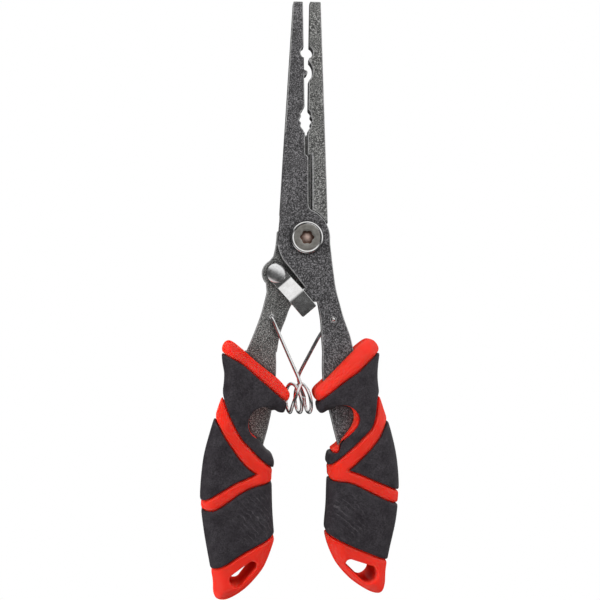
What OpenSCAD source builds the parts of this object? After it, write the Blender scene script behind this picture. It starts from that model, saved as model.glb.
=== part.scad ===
/* [Jaws] */
// Distance from the pivot axis to the jaw tips
jaw_len = 82.5; // [80:0.5:86]
// Angle between the two gripping faces in the rest pose, in degrees
rest_open = 1.6; // [1.5:0.1:1.8]
// Thickness of the jaws at their tips
tip_t = 4.6; // [4:0.1:6]
// Radius of the upper crimping hollow
crimp_r = 2.2; // [1.9:0.05:2.3]
// Half the width of the toothed hollow
grip_hole_w = 2.35; // [2:0.05:2.5]

/* [Levers] */
// Thickness of each lever plate beside the pivot
plate_t = 4; // [3.6:0.1:4.4]
// Radius of the round boss of each lever
boss_r = 8.6; // [8.4:0.1:8.8]
// Radius of the bore that turns on the pivot barrel
bore_r = 4; // [3.6:0.1:4.2]

/* [Grips] */
// Full thickness of the grips
grip_t = 17; // [15:0.5:19]
// Thickness of the soft pads over the hard core
pad_t = 1.8; // [1.4:0.1:2.2]
// Distance of the grips' mirror line from the pivot axis
grip_axis = -2.45; // [-2.6:0.05:-2.3]

/* [Latch and spring] */
// Width of the latch strip
latch_w = 6.3; // [5.6:0.1:6.5]
// Length of the latch from its rivet to its end
latch_len = 17.5; // [16.5:0.5:18]
// Diameter of the spring wire
wire_d = 1.2; // [1:0.05:1.25]
// Outer diameter of the spring coil
coil_d = 11.3; // [10.5:0.1:11.5]
// Distance between the turns of the spring coil
coil_pitch = 3.3; // [3:0.1:3.4]

/* [Hidden] */
$fn = 64;
far = 60;
run_gap = 0.05;
seat_gap = 0.02;
half_open = rest_open / 2;
open_limit = 13;
taper_z = 20;
blade_top_z = 36;
blade_step_z = 28;
blade_y = 2.8;
closing_room = 1;
front = -1;
rear = 1;

steel_colour = "#4b4b4d";
bright_colour = "#c9c7c3";
red_colour = "#e3362b";
black_colour = "#2b2a2d";

// ---- curve helpers -------------------------------------------------------

// One point of a smooth curve between b and c, with a and d as its neighbours.
function blend4(a, b, c, d, t) =
    0.5 * (2 * b + (c - a) * t + (2 * a - 5 * b + 4 * c - d) * t * t
           + (3 * b - a - 3 * c + d) * t * t * t);

// A smooth open curve through the points.
function curve(p, steps = 4) = concat(
    [for (i = [0 : len(p) - 2], k = [0 : steps - 1])
        blend4(p[max(i - 1, 0)], p[i], p[i + 1], p[min(i + 2, len(p) - 1)], k / steps)],
    [p[len(p) - 1]]);

// A smooth closed curve through the points.
function loop(p, steps = 4) =
    [for (i = [0 : len(p) - 1], k = [0 : steps - 1])
        blend4(p[(i + len(p) - 1) % len(p)], p[i], p[(i + 1) % len(p)],
               p[(i + 2) % len(p)], k / steps)];

// Points on an arc from angle a0 to a1.
function arc(c, r, a0, a1, steps = 10) =
    [for (i = [0 : steps]) let (a = a0 + (a1 - a0) * i / steps) c + r * [cos(a), sin(a)]];

function unit(v) = v / norm(v);

function reverse(p) = [for (i = [len(p) - 1 : -1 : 0]) p[i]];

// Each point of a counter-clockwise loop, moved inwards by d along its normal.
function inset(p, d) =
    [for (i = [0 : len(p) - 1])
        let (t = unit(p[(i + 1) % len(p)] - p[(i + len(p) - 1) % len(p)]))
        p[i] + d * [-t[1], t[0]]];

// The gripping face of a jaw: it leans out from the closing plane by half the opening.
function face_x(z, side) = side * (run_gap + z * tan(half_open));

// ---- solid helpers -------------------------------------------------------

// Extrudes an outline drawn in X and Z, from y0 to y1.
module slab(y0, y1) {
    translate([0, y1, 0]) rotate([90, 0, 0]) linear_extrude(y1 - y0) children();
}

// A cylinder along Y from y0 to y1 at the point c in X and Z.
module rod(c, r, y0, y1) {
    translate([c[0], y1, c[1]]) rotate([90, 0, 0]) cylinder(h = y1 - y0, r = r);
}

// A wedge in Y, thick up to taper_z and thinning to the tips, that the jaws are cut to.
module jaw_taper() {
    root_t = 2 * plate_t;
    translate([-far, 0, 0]) rotate([90, 0, 90]) linear_extrude(2 * far)
        polygon([[-root_t / 2, -far], [root_t / 2, -far], [root_t / 2, taper_z],
                 [tip_t / 2, jaw_len], [tip_t / 2, jaw_len + 5],
                 [-tip_t / 2, jaw_len + 5], [-tip_t / 2, jaw_len], [-root_t / 2, taper_z]]);
}

// ---- jaws ----------------------------------------------------------------

tip_corner = 0.25;
left_tip_x = -4.6;
left_root_x = -9.45;
right_tip_x = 5.05;
right_root_x = 7.35;
outer_root_z = 5.6;
crimp_at = [0.1, 64.7];
tooth_at = [-0.55, 57.6];
tooth_r = 0.9;
tooth_hollow_at = [-2.3, 58.2];
tooth_hollow_r = 4.55;
grip_hole_z = [36.2, 46];
grip_hole_x = -0.28;
teeth = 4;
tooth_depth = 0.3;

// Half the width of the toothed hollow at t, from 0 at its bottom to 1 at its top.
function grip_hole_half(t) =
    grip_hole_w * pow(sin(180 * t), 0.75) + tooth_depth * (cos(360 * teeth * t) - 1) * sin(180 * t);

// The toothed hollow between the jaws.
module grip_hole() {
    n = 32;
    z = function (t) grip_hole_z[0] + (grip_hole_z[1] - grip_hole_z[0]) * t;
    polygon(concat([for (i = [0 : n]) [grip_hole_x + grip_hole_half(i / n), z(i / n)]],
                   [for (i = [n - 1 : -1 : 1]) [grip_hole_x - grip_hole_half(i / n), z(i / n)]]));
}

// A jaw outline from the root up to the tip, with its inner edge at the gripping face.
module jaw_outline(side, root_x, tip_x, base_x, base_z) {
    polygon([[base_x, base_z], [root_x, base_z], [root_x, outer_root_z],
             [tip_x, jaw_len - tip_corner], [tip_x - side * tip_corner, jaw_len],
             [face_x(jaw_len, side) + side * tip_corner / 2, jaw_len],
             [face_x(jaw_len, side), jaw_len - tip_corner], [face_x(blade_top_z, side), blade_top_z],
             [base_x, blade_top_z - 1]]);
}

module left_jaw_outline(base_x) {
    difference() {
        jaw_outline(front, left_root_x, left_tip_x, base_x, 0);
        translate(crimp_at) circle(crimp_r);
        grip_hole();
    }
    translate(tooth_at) circle(tooth_r);
}

module right_jaw_outline(base_x) {
    difference() {
        jaw_outline(rear, right_root_x, right_tip_x, base_x, 0);
        translate(crimp_at) circle(crimp_r);
        translate(tooth_hollow_at) circle(tooth_hollow_r);
        grip_hole();
    }
}

// The bevels along the outer edges of the left jaw, in front and behind. Each follows the
// jaw's lean and its taper.
module left_jaw_bevel() {
    band = 1.6;
    fall = 1;
    rise = 0.1;
    lean = atan((left_tip_x - left_root_x) / (jaw_len - outer_root_z));
    taper = atan((plate_t - tip_t / 2) / (jaw_len - taper_z));
    for (y_side = [front, rear])
        translate([left_root_x, y_side * plate_t, outer_root_z])
            rotate([-y_side * taper, lean, 0])
                translate([0, y_side * rise, -far]) linear_extrude(3 * far)
                    polygon([[-far, y_side * far], [band, y_side * far], [band, 0],
                             [0, -y_side * fall], [-far, -y_side * fall]]);
}

// ---- lever plates --------------------------------------------------------

seam_x = 0.55;
seam_arc_at = [-2.1, 0.1];
seam_arc_r = 10.2;
seam_arc_end = 68;
front_boss_r = boss_r - 0.7;
ear_at = [-10.4, -12.4];
ear_r = 5;
ear_top = [-10.1, 2.4];
spring_hole_r = 0.8;
left_hole_at = [-11.9, -27.65];
right_hole_at = [9.3, -28.5];
tang_end_z = -99;

// The inner and outer edges of the tang inside a grip, as distances from the grips'
// mirror line, down from the arm and back up. The front lever's tang is narrower in the recess.
rear_tang_inner = [[8.05, -40], [8.0, -47], [8.6, -54], [9.5, -60], [11, -67], [12.9, -74],
                   [15.5, -86], [17, -97]];
front_tang_inner = [[8.05, -40], [8.0, -47], [8.8, -54], [10.3, -60], [12, -67], [13.7, -74],
                    [15.7, -86], [17, -97]];
tang_outer = [[20, tang_end_z], [25.5, -97], [26.3, -86], [25, -70], [23.4, -58],
              [21.6, -48], [18.9, -39.5]];

// The tang's outline on one side, as points in X and Z.
function tang(side) =
    let (inner = side == rear ? front_tang_inner : rear_tang_inner)
    [for (p = concat(curve(inner), curve(tang_outer))) [grip_axis + side * p[0], p[1]]];

// The front plate: the boss, the edge along the latch, the corner under the latch's tab and
// the arm down to the right.
module front_plate() {
    polygon(concat(
        [[left_root_x, outer_root_z], [-10.15, -2.45]],
        curve([[-9.1, -5.95], [-7.7, -8.4], [-4.2, -12.6], [-0.5, -17.45]]),
        [[-1.05, -19.3], [2.1, -22.8], [2.6, -22.4], [3.8, -22.5]],
        curve([[4.1, -24.2], [4.9, -29], [5.2, -34], [5.6, -40]]),
        curve([[16.5, -40], [15.2, -34.3], [12.95, -28], [11.2, -21.7], [10.15, -17.5],
               [9.1, -10], [8.2, -2]]),
        arc(seam_arc_at, seam_arc_r, 5, seam_arc_end)));
    circle(front_boss_r);
}

// The rear plate: the boss, the ear for the latch and the arm down to the left.
module rear_plate() {
    polygon(concat(
        [[0, 0], [boss_r, 0], [7.6, -4.2]],
        curve([[5.6, -7.5], [2.2, -12.8], [-1.2, -18.6], [-5.25, -23.8], [-7.1, -28.5],
               [-9, -33.5], [-10.2, -40]]),
        curve([[-20.9, -40], [-18.2, -33.5], [-15.8, -27], [-14.35, -21.7], [-13.7, -18.8]]),
        arc(ear_at, ear_r, 225, 118),
        curve([[-11.4, -6.4], [-10.7, -3.5], [-10.3, -0.5], ear_top])));
    circle(boss_r);
}

// The room in the jaw of one lever for the boss of the other.
module boss_room(gap) {
    circle(boss_r + gap);
    polygon(arc(seam_arc_at, seam_arc_r + gap, -30, seam_arc_end + 40, 20));
}

module front_lever() {
    back_face_x = -2.9;
    color(steel_colour) difference() {
        union() {
            slab(-plate_t, -run_gap) front_plate();
            slab(-plate_t, -run_gap) polygon(tang(rear));
            difference() {
                intersection() {
                    jaw_taper();
                    union() {
                        slab(-plate_t, plate_t) left_jaw_outline(back_face_x);
                        slab(-plate_t, -blade_y) front_blade();
                    }
                }
                slab(0, far) left_jaw_stop();
            }
        }
        slab(-run_gap, far) circle(boss_r + 2 * run_gap);
        left_jaw_bevel();
        rod([0, 0], bore_r, -far, far);
        rod(right_hole_at, spring_hole_r, -far, far);
    }
}

// The blade of the left jaw, which laps in front of the right jaw. Its edge sweeps up out
// of the boss, runs straight along the seam and steps back to the gripping face.
module front_blade() {
    blade_back_x = -6;
    step_x = face_x(blade_top_z, front);
    polygon(concat(
        [[blade_back_x, 0]],
        arc(seam_arc_at, seam_arc_r, 0, seam_arc_end),
        curve([[1.1, 10.1], [0.65, 11.1], [seam_x, 12.5]]),
        [[seam_x, blade_step_z], [step_x, blade_step_z + 1.2], [step_x, blade_top_z],
         [blade_back_x, blade_top_z]]));
}

// The part of the left jaw, behind the lap, that would meet the rear plate as it opens.
module left_jaw_stop() {
    spare = 1;
    ear_rise = atan2(ear_top[1], -ear_top[0]);
    polygon([[0, 0], [-far, far * tan(2 * open_limit + ear_rise + spare)], [-far, -far], [0, -far]]);
}

// The bevel on the right jaw, along the seam.
module seam_bevel() {
    edge_x = seam_x + closing_room;
    bevel_w = 0.6;
    bevel_h = 1;
    linear_extrude(blade_step_z + closing_room)
        polygon([[edge_x - bevel_w, -plate_t - bevel_h], [edge_x + 2 * bevel_w, -plate_t - bevel_h],
                 [edge_x, -plate_t + bevel_h], [edge_x - bevel_w, -plate_t + bevel_h]]);
}

module rear_lever() {
    under_x = -1.8;
    gap = 0.2;
    step_x = face_x(blade_top_z, front);
    rebate_x = under_x - 1;
    color(steel_colour) difference() {
        union() {
            slab(run_gap, plate_t) rear_plate();
            slab(run_gap, plate_t) polygon(tang(front));
            difference() {
                intersection() {
                    jaw_taper();
                    slab(-plate_t, plate_t) right_jaw_outline(under_x);
                }
                slab(-far, run_gap) boss_room(gap);
                slab(-far, -blade_y + run_gap) translate([rebate_x, 0]) {
                    square([seam_x + closing_room - rebate_x, blade_step_z + closing_room]);
                    square([step_x + closing_room - rebate_x, blade_top_z]);
                }
                seam_bevel();
            }
        }
        rod([0, 0], bore_r, -far, far);
        rod(ear_at, rivet_r + seat_gap, -far, far);
        rod(left_hole_at, spring_hole_r, -far, far);
    }
}

// ---- pivot ---------------------------------------------------------------

head_r = 5.6;
head_t = 1.6;
head_bevel = 0.9;
barrel_r = bore_r - run_gap;
shank_r = 2.4;
socket_r = 2.25;
socket_lobe = 0.2;
socket_depth = 1.5;
washer_t = 0.3;
nut_t = 1.4;

// A disc with one bevelled rim, revolved about Y. The bevel is on the side that faces y1.
module bevelled_disc(r, y0, y1, bevel) {
    rotate([-90, 0, 0]) rotate_extrude()
        polygon([[0, y0], [r, y0], [r, y1 - sign(y1 - y0) * bevel], [r - bevel, y1], [0, y1]]);
}

module pivot_screw() {
    face_y = -plate_t - head_t;
    color(bright_colour) difference() {
        union() {
            bevelled_disc(head_r, -plate_t, face_y, head_bevel);
            rod([0, 0], shank_r, -plate_t, plate_t);
        }
        slab(face_y - 1, face_y + socket_depth)
            polygon([for (a = [0 : 5 : 355])
                (socket_r + socket_lobe * cos(6 * a)) * [cos(a), sin(a)]]);
    }
}

module pivot_nut() {
    back_y = plate_t + washer_t + nut_t;
    slot_w = 1.4;
    slot_depth = 0.7;
    color(bright_colour) difference() {
        union() {
            bevelled_disc(head_r, plate_t + washer_t, back_y, 0.5);
            rod([0, 0], barrel_r, -plate_t + run_gap, plate_t + washer_t);
        }
        rod([0, 0], shank_r + seat_gap, -far, plate_t + seat_gap);
        translate([-far, back_y - slot_depth, -slot_w / 2]) cube([2 * far, far, slot_w]);
    }
}

module pivot_washer() {
    color(bright_colour) difference() {
        rod([0, 0], head_r + 0.5, plate_t, plate_t + washer_t);
        rod([0, 0], bore_r, plate_t - 1, plate_t + washer_t + 1);
    }
}

// ---- latch ---------------------------------------------------------------

latch_angle = 49.7;
latch_t = 1;
latch_washer_t = 0.3;
rivet_r = 1.5;
rivet_head_r = 3.5;
rivet_head_t = 1.7;
rivet_tail_r = 2.7;
rivet_tail_t = 0.9;
latch_back_y = -latch_washer_t;
latch_face_y = latch_back_y - latch_t;
tab_face_y = -plate_t - latch_t - 0.3;
ramp_start = 5.2;
ramp_end = 10.3;

// Turns the latch's own frame, with X along the strip, to its place on the ear.
module at_latch() {
    translate([ear_at[0], 0, ear_at[1]]) rotate([0, latch_angle, 0]) children();
}

// The strip: flat round its rivet, a ramp towards the front and a raised end tab.
module latch() {
    knee = 0.5;
    color(bright_colour) at_latch() difference() {
        union() {
            rod([0, 0], latch_w / 2, latch_face_y, latch_back_y);
            translate([0, 0, -latch_w / 2]) linear_extrude(latch_w)
                polygon([[0, latch_back_y], [0, latch_face_y], [ramp_start - knee, latch_face_y],
                         [ramp_end - knee, tab_face_y], [latch_len, tab_face_y],
                         [latch_len, tab_face_y + latch_t], [ramp_end, tab_face_y + latch_t],
                         [ramp_start, latch_back_y]]);
        }
        rod([0, 0], rivet_r + run_gap, -far, far);
    }
}

// A domed rivet through the ear, its tail closed behind the rear plate.
module latch_rivet() {
    dome_r = (rivet_head_r * rivet_head_r + rivet_head_t * rivet_head_t) / (2 * rivet_head_t);
    head_y = latch_face_y - run_gap;
    color(bright_colour) translate([ear_at[0], 0, ear_at[1]]) {
        intersection() {
            translate([0, head_y + dome_r - rivet_head_t, 0]) sphere(dome_r);
            rod([0, 0], rivet_head_r, head_y - rivet_head_t, head_y);
        }
        rod([0, 0], rivet_r, head_y, plate_t);
        rod([0, 0], rivet_tail_r, plate_t, plate_t + rivet_tail_t);
    }
}

module latch_washer() {
    color(bright_colour) difference() {
        rod(ear_at, latch_w / 2 - 0.2, latch_back_y + run_gap / 2, run_gap);
        rod(ear_at, rivet_r + seat_gap, -far, far);
    }
}

// ---- spring --------------------------------------------------------------

coil_start = [-6.1, 0, -56.15];
coil_lean = 0.45;
coil_skew = 1.55;
coil_r = (coil_d - wire_d) / 2;
coil_wound = 810;
wire_y = wire_d / 2 + 0.1;
tip_proud = 0.15;

// A point of the coil after turning by the angle a from its lowest point at the left end.
// It is wound about X, up behind and down in front, with its turns askew.
function coil_point(a) = coil_start
    + [coil_pitch * a / 360 + coil_lean * cos(a) - coil_skew * sin(a), coil_r * sin(a), -coil_r * cos(a)];

// The wire: out of the left hole, down in front of the coil, round it and up behind it to
// the right hole.
left_leg = [[left_hole_at[0], 2.6, left_hole_at[1]], [left_hole_at[0], 0.6, left_hole_at[1]],
            [left_hole_at[0] + 0.3, -wire_y, left_hole_at[1] - 0.8], [-9.8, -1, -32.8],
            [-6.2, -2.9, -41.3], [-2.5, -4.9, -50], [-2.6, -5.6, -51.6], [-3.6, -6.2, -54],
            [-4.5, -5.8, -56.6], [-5.1, -4.5, -58.7], [-5.5, -2.4, -60.6]];
right_leg = [[-1.2, 4.8, -53.5], [-2, 4, -51.4], [-2.4, 3.2, -49.5], [-2, 2.8, -47.5],
             [1.2, 1.9, -41.2], [5.2, 1, -33.8], [right_hole_at[0] - 0.6, wire_y, right_hole_at[1] - 0.9],
             [right_hole_at[0], -0.6, right_hole_at[1]],
             [right_hole_at[0], -plate_t - tip_proud, right_hole_at[1]]];
wire_path = concat(curve(left_leg, 4), [for (a = [15 : 15 : coil_wound]) coil_point(a)],
                   curve(right_leg, 4));

// The room in the grips for the coil, with enough at its ends for the handles to close.
module coil_room() {
    handle_travel = 0.8;
    end_room = handle_travel + wire_d / 2;
    ends = [coil_point(90)[0] - end_room, coil_point(coil_wound - 180)[0] + end_room];
    translate([ends[0], 0, coil_start[2]]) rotate([0, 90, 0])
        cylinder(h = ends[1] - ends[0], r = coil_d / 2 + wire_d / 4);
}

// A square frame across the wire at point i of its path.
function path_dir(p, i) = unit(p[min(i + 1, len(p) - 1)] - p[max(i - 1, 0)]);
function across(d) = unit(cross(d, [0.31, 0.05, 0.02] + 0.3 * [0, abs(d[0]), abs(d[2])]));

module torsion_spring() {
    sides = 8;
    n = len(wire_path);
    rings = [for (i = [0 : n - 1]) let (d = path_dir(wire_path, i), u = across(d), v = cross(d, u))
        [for (k = [0 : sides - 1]) let (a = 360 * k / sides)
            wire_path[i] + wire_d / 2 * (cos(a) * u + sin(a) * v)]];
    points = [for (ring = rings, p = ring) p];
    walls = [for (i = [0 : n - 2], k = [0 : sides - 1])
        let (j = (k + 1) % sides, a = i * sides, b = (i + 1) * sides)
        each [[a + k, a + j, b + j], [a + k, b + j, b + k]]];
    color(bright_colour) polyhedron(points, concat(
        [[for (k = [sides - 1 : -1 : 0]) k]], walls, [[for (k = [0 : sides - 1]) (n - 1) * sides + k]]));
}

// ---- grips ---------------------------------------------------------------

// The grip's outline as distances from the mirror line, counter-clockwise on the right side.
grip_points = [[22.5, -36.4], [15.7, -42.7], [11, -46.9], [5.95, -51.1], [4.3, -53.6],
    [4.3, -57], [5.7, -60.8], [8.2, -64.4], [10.6, -69], [11.9, -72.6], [11.2, -74.4],
    [9.6, -76.6], [9.1, -79], [9.5, -85], [9.4, -96], [9.1, -105.2], [10.9, -111], [15.05, -118.3],
    [22.4, -124.3], [27.8, -126], [30.3, -123.8], [30.6, -118.3], [32.2, -109.5], [34.2, -97],
    [34.7, -88], [34, -78], [31.4, -68], [28.3, -59], [27.1, -51], [27.1, -42], [26.6, -37.4],
    [24.9, -35.6]];

// The finger recess that bares the tang, and the slot for a lanyard.
recess_points = [[9.5, -60.2], [13, -58.9], [16.7, -61.3], [18.3, -65.3], [17, -69.7],
                 [12.6, -73.8], [6, -73.5], [3, -68], [3.4, -62.6], [6.2, -60.8]];
slot_ends = [[17.4, -114.9], [23.2, -119.2]];
slot_radii = [2.3, 3];

// The three areas that the soft pads cover, on the right side.
collar_edge = [[27, -40.2], [22.4, -42.7], [16.8, -46.9], [11.55, -51.1], [6.65, -55.3], [3, -58]];
upper_arm_top = [[9.5, -81.3], [14, -78.4], [18.55, -74.2], [21.35, -70], [23.45, -65.8],
                 [24.85, -61.6], [26.25, -57.4], [28.4, -55.6]];
upper_arm_low = [[29.4, -62.4], [28, -65.8], [25.55, -70], [22.75, -74.2], [19.25, -78.4],
                 [15.75, -82.3]];
lower_arm_top = [[19.25, -84.7], [23.1, -86.8], [26.6, -88.9], [34.3, -93.1]];
lower_arm_low = [[33.9, -96.2], [26.25, -93.1], [20.3, -88.9], [14, -86.8], [9, -84.6]];
cap_edge = [[9.1, -105], [13.3, -107.8], [20.65, -112], [31.15, -117]];
pad_areas = [
    concat([[far, -40.2]], curve(reverse(upper_arm_top)), [[0, -81.3], [0, -60]],
           curve(reverse(collar_edge))),
    concat([[far, -62.4]], curve(upper_arm_low), curve(lower_arm_top), [[far, -93.1]]),
    concat([[far, -96.2]], curve(lower_arm_low), [[0, -84.6], [0, -105]], curve(cap_edge),
           [[far, -117]])];

// Mirrors what is drawn as distances from the grips' mirror line to one side.
module on_side(side) {
    translate([grip_axis, 0]) {
        if (side < 0) mirror([1, 0]) children();
        else children();
    }
}

// The grip's rounded-off block, smaller all round by d.
module grip_block(side, d) {
    half = grip_t / 2 - d;
    ends = [[-36, 1.9], [-40, 0.7], [-48, 0], [-106, 0], [-118, 0.9], [-126.5, 2.4]];
    intersection() {
        slab(-far, far) on_side(side) polygon(loop(inset(grip_points, d)));
        translate([-far, 0, 0]) rotate([90, 0, 90]) linear_extrude(2 * far)
            polygon(concat([for (e = ends) [e[1] - half, e[0]]],
                           [for (e = reverse(ends)) [half - e[1], e[0]]],
                           [[half - 3, 0], [3 - half, 0]]));
    }
}

module recess(side, d) {
    slab(-far, far) on_side(side) polygon(loop(inset(reverse(recess_points), -d)));
}

module lanyard_slot(side) {
    run = slot_ends[1] - slot_ends[0];
    lean = atan2(run[1], run[0]);
    slab(-far, far) on_side(side) polygon(concat(
        arc(slot_ends[0], slot_radii[0], lean + 90, lean + 270),
        arc(slot_ends[1], slot_radii[1], lean - 90, lean + 90)));
}

// The room that the lever's tang takes inside the grip.
module tang_room(side) {
    y0 = side < 0 ? 0 : -plate_t - run_gap;
    slab(y0, y0 + plate_t + run_gap) polygon(tang(side));
}

// The hard core: the collar, the two bands of the chevron and the end cap, joined inside.
module grip_core(side) {
    color(red_colour) difference() {
        grip_block(side, 0);
        difference() {
            slab(-far, far) on_side(side) for (area = pad_areas) polygon(area);
            grip_block(side, pad_t);
        }
        tang_room(side);
        recess(side, 0);
        lanyard_slot(side);
        coil_room();
    }
}

// One soft pad, a sleeve round the core.
module grip_pad(side, k) {
    rim = 0.7;
    color(black_colour) difference() {
        intersection() {
            grip_block(side, 0);
            slab(-far, far) on_side(side) polygon(pad_areas[k]);
        }
        grip_block(side, pad_t - seat_gap);
        tang_room(side);
        recess(side, rim);
        coil_room();
    }
}

module left_grip_core() { grip_core(front); }
module left_upper_pad() { grip_pad(front, 0); }
module left_middle_pad() { grip_pad(front, 1); }
module left_lower_pad() { grip_pad(front, 2); }
module right_grip_core() { grip_core(rear); }
module right_upper_pad() { grip_pad(rear, 0); }
module right_middle_pad() { grip_pad(rear, 1); }
module right_lower_pad() { grip_pad(rear, 2); }

front_lever();
rear_lever();
pivot_screw();
pivot_nut();
pivot_washer();
latch();
latch_rivet();
latch_washer();
torsion_spring();
left_grip_core();
left_upper_pad();
left_middle_pad();
left_lower_pad();
right_grip_core();
right_upper_pad();
right_middle_pad();
right_lower_pad();
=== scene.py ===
"""Fishing pliers: the looks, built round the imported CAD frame."""

import math

import bmesh
import bpy
import numpy as np
import openvdb
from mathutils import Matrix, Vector
from mathutils.bvhtree import BVHTree


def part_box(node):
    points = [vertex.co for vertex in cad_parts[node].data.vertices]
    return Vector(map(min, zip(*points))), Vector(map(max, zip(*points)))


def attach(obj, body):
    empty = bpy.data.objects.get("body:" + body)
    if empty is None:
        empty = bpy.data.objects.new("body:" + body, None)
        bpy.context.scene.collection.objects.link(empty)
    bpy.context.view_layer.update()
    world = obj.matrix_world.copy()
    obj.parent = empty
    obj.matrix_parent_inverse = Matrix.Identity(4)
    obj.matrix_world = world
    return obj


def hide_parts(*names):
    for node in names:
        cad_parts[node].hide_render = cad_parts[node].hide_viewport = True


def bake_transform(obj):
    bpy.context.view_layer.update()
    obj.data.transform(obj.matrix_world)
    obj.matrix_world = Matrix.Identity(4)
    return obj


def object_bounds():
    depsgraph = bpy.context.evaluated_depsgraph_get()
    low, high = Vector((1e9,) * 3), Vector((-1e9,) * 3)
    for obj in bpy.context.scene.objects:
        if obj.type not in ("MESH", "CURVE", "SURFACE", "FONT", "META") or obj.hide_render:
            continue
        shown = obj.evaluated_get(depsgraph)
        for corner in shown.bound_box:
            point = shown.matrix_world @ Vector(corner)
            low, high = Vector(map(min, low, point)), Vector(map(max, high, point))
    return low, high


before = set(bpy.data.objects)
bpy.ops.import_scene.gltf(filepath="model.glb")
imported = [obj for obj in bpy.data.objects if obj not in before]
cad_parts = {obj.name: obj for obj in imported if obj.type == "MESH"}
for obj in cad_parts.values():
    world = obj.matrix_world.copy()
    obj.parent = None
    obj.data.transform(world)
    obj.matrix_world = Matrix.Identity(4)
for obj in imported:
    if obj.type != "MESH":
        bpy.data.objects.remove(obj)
cad_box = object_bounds()

MM = 0.001
PARTS = ("grip_core", "upper_pad", "middle_pad", "lower_pad")


# ---- places taken from the frame, in millimetres ---------------------------


def box_mm(*nodes):
    """Lowest and highest corner of some CAD nodes together, in millimetres."""
    corners = [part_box(n) for n in nodes]
    low = np.min([np.array(c[0]) for c in corners], axis=0)
    high = np.max([np.array(c[1]) for c in corners], axis=0)
    return low / MM, high / MM


tool_low = np.array(cad_box[0]) / MM
tool_high = np.array(cad_box[1]) / MM
left_low, left_high = box_mm(*(f"left_{p}" for p in PARTS))
right_low, right_high = box_mm(*(f"right_{p}" for p in PARTS))
mirror_x = (left_low[0] + right_high[0]) / 2
grip_half_t = left_high[1]
head_low, head_high = box_mm("pivot_screw")
latch_low, latch_high = box_mm("latch")
rivet_low, rivet_high = box_mm("latch_rivet")
spring_low, spring_high = box_mm("torsion_spring")
plate_t = box_mm("rear_lever")[1][1]


# ---- mesh helpers ----------------------------------------------------------


def link(name, mesh, material):
    """A smooth-shaded object of a mesh with one material."""
    mesh.materials.clear()
    mesh.materials.append(material)
    mesh.polygons.foreach_set("use_smooth", [True] * len(mesh.polygons))
    obj = bpy.data.objects.new(name, mesh)
    bpy.context.scene.collection.objects.link(obj)
    return obj


def from_points(name, points_mm, faces, material):
    """A mesh object from points in millimetres."""
    mesh = bpy.data.meshes.new(name)
    mesh.from_pydata((np.asarray(points_mm, float) * MM).tolist(), [], faces)
    mesh.update()
    return link(name, mesh, material)


def flatten_normals(obj):
    """Keeps large flat faces flat where they run into small rounded ones."""
    obj.modifiers.new("normals", "WEIGHTED_NORMAL")


def place(obj, body, slot, *nodes):
    """Puts a piece on its body, in place of CAD nodes."""
    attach(obj, body)
    if nodes:
        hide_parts(*nodes)
    return obj


def curve_through(points, steps, closed=False):
    """A smooth curve through the points."""
    p = np.asarray(points, float)
    n = len(p)
    t = np.linspace(0, 1, steps, endpoint=False)[:, None]
    out = []
    for i in range(n if closed else n - 1):
        if closed:
            a, b, c, d = p[i - 1], p[i], p[(i + 1) % n], p[(i + 2) % n]
        else:
            a, b, c, d = p[max(i - 1, 0)], p[i], p[i + 1], p[min(i + 2, n - 1)]
        out.append(0.5 * (2 * b + (c - a) * t + (2 * a - 5 * b + 4 * c - d) * t**2
                          + (3 * b - a - 3 * c + d) * t**3))
    if not closed:
        out.append(p[-1:])
    return np.vstack(out)


def tube(name, rings, material):
    """A closed skin through rings of equal length, facing outwards."""
    rings = np.asarray(rings, float)
    count, sides = rings.shape[:2]
    faces = [(i * sides + k, i * sides + (k + 1) % sides,
              (i + 1) * sides + (k + 1) % sides, (i + 1) * sides + k)
             for i in range(count - 1) for k in range(sides)]
    faces.append(tuple(reversed(range(sides))))
    faces.append(tuple(range((count - 1) * sides, count * sides)))
    obj = from_points(name, rings.reshape(-1, 3), faces, material)
    bm = bmesh.new()
    bm.from_mesh(obj.data)
    bmesh.ops.recalc_face_normals(bm, faces=bm.faces)
    bm.to_mesh(obj.data)
    bm.free()
    return obj


def turned(name, profile, centre, material, sides=64, shape=None):
    """A part turned about Y, from a profile of (radius, y) pairs.

    shape(radius, angles) can change the radius of a ring round the turn.
    """
    angle = np.linspace(0, 2 * math.pi, sides, endpoint=False)
    rings = []
    for radius, y in profile:
        r = shape(radius, angle) if shape else radius
        rings.append(np.column_stack([centre[0] + r * np.cos(angle), np.full(sides, y),
                                      centre[1] + r * np.sin(angle)]))
    return tube(name, rings, material)


def corner(centre, radius, start, end, steps=4):
    """Points of a rounded corner of a profile, as (radius, y) pairs."""
    angles = np.radians(np.linspace(start, end, steps + 1))
    return [(centre[0] + radius * math.cos(a), centre[1] + radius * math.sin(a)) for a in angles]


# ---- materials -------------------------------------------------------------


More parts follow.
